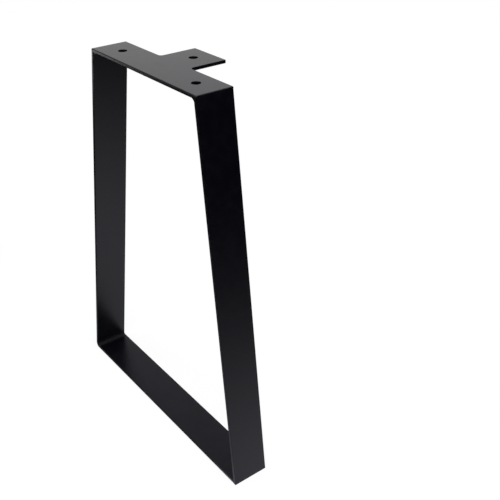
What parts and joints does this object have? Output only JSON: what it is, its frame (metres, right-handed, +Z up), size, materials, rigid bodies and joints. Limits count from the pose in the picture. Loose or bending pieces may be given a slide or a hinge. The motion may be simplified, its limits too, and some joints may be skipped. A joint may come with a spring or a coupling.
{
  "type": "trestle table leg",
  "caption": "Flat-steel table leg: a closed trapezoid loop, wider at the floor, under a T-shaped plate drilled for fixing to a table top.",
  "frame": {"origin": "middle of the foot's underside, on the floor", "axes": "+X along the loop, from the bent corner of the foot to its welded corner; +Y the way the plate's tab points; +Z up, from the floor to the table top"},
  "size_m": [0.5135, 0.142, 0.71],
  "materials": {
    "powder_coat": "fine-textured satin black powder coat",
    "coated_weld": "satin black powder coat over a fillet weld"
  },
  "bodies": {
    "root": {"top_plate": "powder_coat", "left_post_and_foot": "powder_coat", "right_post": "powder_coat", "weld_plate_left": "coated_weld", "weld_plate_right": "coated_weld", "weld_foot_right": "coated_weld"}
  },
  "joints": []
}
